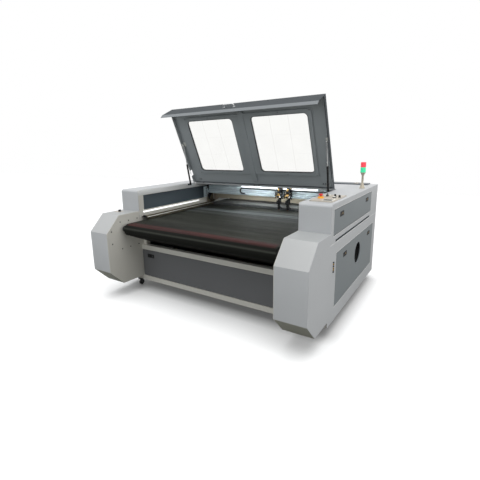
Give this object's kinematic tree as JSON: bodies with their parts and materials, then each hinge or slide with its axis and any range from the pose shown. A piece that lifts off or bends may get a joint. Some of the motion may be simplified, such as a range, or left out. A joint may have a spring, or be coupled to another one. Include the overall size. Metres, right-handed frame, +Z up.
{
  "type": "conveyor laser cutting machine",
  "caption": "Floor-standing laser cutting machine with a conveyor belt table, a gantry with lens heads, a hinged windowed lid, drive housings and cabinet doors.",
  "frame": {"origin": "centre of the machine's outline on the floor", "axes": "+X to the operator's right, -Y to the front, +Z up"},
  "size_m": [2.3, 2, 1.9236],
  "materials": {
    "grey_paint": "satin",
    "frame_paint": "satin",
    "door_paint": "satin",
    "lid_paint": "satin",
    "front_paint": "satin",
    "top_paint": "satin",
    "rear_paint": "satin",
    "recess_paint": "satin",
    "light": "matte",
    "ledge_metal": "brushed",
    "belt": "matte",
    "bed_metal": "brushed",
    "bearing": "satin",
    "tube_glass": "clear",
    "dark_plastic": "matte",
    "case_paint": "satin",
    "pole": "gloss",
    "lamp": "gloss",
    "panel": "satin",
    "bracket": "satin",
    "window": "clear",
    "chrome": "polished",
    "strut_black": "gloss",
    "steel": "brushed",
    "beam_alu": "satin",
    "black_metal": "anodised",
    "brass": "polished",
    "roller": "matte",
    "red_plastic": "gloss",
    "wheel": "matte",
    "zinc": "satin"
  },
  "bodies": {
    "frame": {"base_frame": "frame_paint", "left_side_panel": "grey_paint", "right_side_panel": "grey_paint", "ear_wraps": "grey_paint", "ear_plates": "grey_paint", "left_upper_cover": "grey_paint", "right_upper_cover": "grey_paint", "inner_walls": "grey_paint", "recess_panels": "recess_paint", "led_bars": "light", "edge_ledges": "ledge_metal", "rear_wall": "rear_paint", "top_cover": "top_paint", "rear_panel": "grey_paint", "left_cover_plates": "door_paint", "belt": "belt", "belt_bed": "bed_metal", "roller_bearings": "bearing", "laser_tubes": "tube_glass", "exhaust_blower": "dark_plastic", "power_supply": "case_paint", "feed_motor": "bearing", "levelling_feet": "dark_plastic", "signal_pole": "pole", "signal_lamps": "lamp", "control_panel": "panel", "hinge_brackets": "bracket"},
    "lid": {"lid_shell": "lid_paint", "lid_liner": "lid_paint", "lid_windows": "window", "lid_handle": "chrome"},
    "left_cylinder": {"left_strut_cylinder": "strut_black"},
    "right_cylinder": {"right_strut_cylinder": "strut_black"},
    "left_rod": {"left_strut_rod": "steel"},
    "right_rod": {"right_strut_rod": "steel"},
    "gantry": {"gantry_beam": "beam_alu", "gantry_ends": "black_metal", "cable_chain": "dark_plastic"},
    "left_carriage": {"left_head": "black_metal"},
    "right_carriage": {"right_head": "black_metal"},
    "left_lens": {"left_lens_tube": "black_metal"},
    "right_lens": {"right_lens_tube": "black_metal"},
    "front_roll_body": {"front_roller": "roller"},
    "rear_roll_body": {"rear_roller": "roller"},
    "tension_roll_body": {"tension_roller": "roller"},
    "tube_hatch": {"tube_cover": "lid_paint"},
    "upper_door": {"right_upper_door": "door_paint"},
    "lower_door": {"right_lower_door": "door_paint"},
    "front_panel": {"front_door": "front_paint"},
    "upper_latch": {"upper_latches": "dark_plastic"},
    "lower_latch": {"lower_latches": "dark_plastic"},
    "front_latch": {"front_latches": "dark_plastic"},
    "stop": {"stop_button": "red_plastic"},
    "key": {"key_switch": "chrome"},
    "knob": {"feed_knob": "dark_plastic"},
    "left_fork": {"left_caster_fork": "zinc"},
    "right_fork": {"right_caster_fork": "zinc"},
    "left_wheel": {"left_caster_wheel": "wheel"},
    "right_wheel": {"right_caster_wheel": "wheel"},
    "back_wheels": {"rear_wheels": "wheel"}
  },
  "joints": [
    {"name": "lid_hinge", "type": "hinge", "parent": "frame", "child": "lid", "pos_m": [0, 0.361, 1.085], "axis": [1, 0, 0], "range_deg": [0, 66]},
    {"name": "left_strut_pivot", "type": "hinge", "parent": "frame", "child": "left_cylinder", "pos_m": [-0.855, 0.23, 1.066], "axis": [1, 0, 0], "range_deg": [0, 80]},
    {"name": "right_strut_pivot", "type": "hinge", "parent": "frame", "child": "right_cylinder", "pos_m": [0.855, 0.23, 1.066], "axis": [1, 0, 0], "range_deg": [0, 80]},
    {"name": "left_strut_slide", "type": "slide", "parent": "left_cylinder", "child": "left_rod", "axis": [0, -0.2104, 0.9776], "range_m": [-0.106, 0]},
    {"name": "right_strut_slide", "type": "slide", "parent": "right_cylinder", "child": "right_rod", "axis": [0, -0.2104, 0.9776], "range_m": [-0.106, 0]},
    {"name": "gantry_slide", "type": "slide", "parent": "frame", "child": "gantry", "axis": [0, 1, 0], "range_m": [-1, 0]},
    {"name": "head_slide", "type": "slide", "parent": "gantry", "child": "left_carriage", "axis": [1, 0, 0], "range_m": [-0.938, 0.462]},
    {"name": "right_head_slide", "type": "slide", "parent": "gantry", "child": "right_carriage", "axis": [1, 0, 0], "range_m": [-0.938, 0.462]},
    {"name": "left_focus", "type": "slide", "parent": "left_carriage", "child": "left_lens", "axis": [0, 0, 1], "range_m": [-0.012, 0.01]},
    {"name": "right_focus", "type": "slide", "parent": "right_carriage", "child": "right_lens", "axis": [0, 0, 1], "range_m": [-0.012, 0.01]},
    {"name": "front_roll", "type": "hinge", "parent": "frame", "child": "front_roll_body", "pos_m": [0, -0.78, 0.712], "axis": [1, 0, 0], "continuous": true},
    {"name": "rear_roll", "type": "hinge", "parent": "frame", "child": "rear_roll_body", "pos_m": [0, 0.86, 0.712], "axis": [1, 0, 0], "continuous": true},
    {"name": "tension_roll", "type": "hinge", "parent": "frame", "child": "tension_roll_body", "pos_m": [0, -0.1, 0.39], "axis": [1, 0, 0], "continuous": true},
    {"name": "tube_cover_hinge", "type": "hinge", "parent": "frame", "child": "tube_hatch", "pos_m": [0, 0.99, 1.068], "axis": [-1, 0, 0], "range_deg": [0, 100]},
    {"name": "upper_door_hinge", "type": "hinge", "parent": "frame", "child": "upper_door", "pos_m": [1.142, 0, 0.842], "axis": [0, 1, 0], "range_deg": [0, 90]},
    {"name": "lower_door_hinge", "type": "hinge", "parent": "frame", "child": "lower_door", "pos_m": [1.142, 0, 0.232], "axis": [0, 1, 0], "range_deg": [0, 90]},
    {"name": "front_door_hinge", "type": "hinge", "parent": "frame", "child": "front_panel", "pos_m": [0, -0.564, 0.164], "axis": [1, 0, 0], "range_deg": [0, 90]},
    {"name": "upper_latch_turn", "type": "hinge", "parent": "upper_door", "child": "upper_latch", "pos_m": [1.147, 0, 0.986], "axis": [0, -1, 0], "range_deg": [0, 30]},
    {"name": "lower_latch_turn", "type": "hinge", "parent": "lower_door", "child": "lower_latch", "pos_m": [1.147, 0, 0.616], "axis": [0, -1, 0], "range_deg": [0, 30]},
    {"name": "front_latch_turn", "type": "hinge", "parent": "front_panel", "child": "front_latch", "pos_m": [0, -0.569, 0.396], "axis": [-1, 0, 0], "range_deg": [0, 30]},
    {"name": "stop_press", "type": "slide", "parent": "frame", "child": "stop", "axis": [0, 0, -1], "range_m": [0, 0.006], "stiffness_N_per_m": 1000, "springref_m": -0.004},
    {"name": "key_turn", "type": "hinge", "parent": "frame", "child": "key", "pos_m": [0.992, -0.213, 1.09], "axis": [0, 0, 1], "range_deg": [0, 90]},
    {"name": "knob_turn", "type": "hinge", "parent": "frame", "child": "knob", "pos_m": [-1.07, -0.687, 0.87], "axis": [0, 0, 1], "range_deg": [0, 270]},
    {"name": "left_caster_swivel", "type": "hinge", "parent": "frame", "child": "left_fork", "pos_m": [-1, -0.547, 0.1], "axis": [0, 0, 1], "continuous": true},
    {"name": "right_caster_swivel", "type": "hinge", "parent": "frame", "child": "right_fork", "pos_m": [1, -0.547, 0.1], "axis": [0, 0, 1], "continuous": true},
    {"name": "left_caster_roll", "type": "hinge", "parent": "left_fork", "child": "left_wheel", "pos_m": [-1, -0.525, 0.033], "axis": [1, 0, 0], "continuous": true},
    {"name": "right_caster_roll", "type": "hinge", "parent": "right_fork", "child": "right_wheel", "pos_m": [1, -0.525, 0.033], "axis": [1, 0, 0], "continuous": true},
    {"name": "rear_caster_roll", "type": "hinge", "parent": "frame", "child": "back_wheels", "pos_m": [0, 0.951, 0.033], "axis": [1, 0, 0], "continuous": true}
  ],
  "couplings": [
    {"joint": "left_strut_pivot", "follows": "lid_hinge", "ratio": 1.2055},
    {"joint": "right_strut_pivot", "follows": "lid_hinge", "ratio": 1.2055},
    {"joint": "left_strut_slide", "follows": "lid_hinge", "m_per_rad": -0.09117},
    {"joint": "right_strut_slide", "follows": "lid_hinge", "m_per_rad": -0.09117},
    {"joint": "right_head_slide", "follows": "head_slide", "ratio": 1},
    {"joint": "rear_roll", "follows": "front_roll", "ratio": 1},
    {"joint": "tension_roll", "follows": "front_roll", "ratio": 1.45}
  ]
}
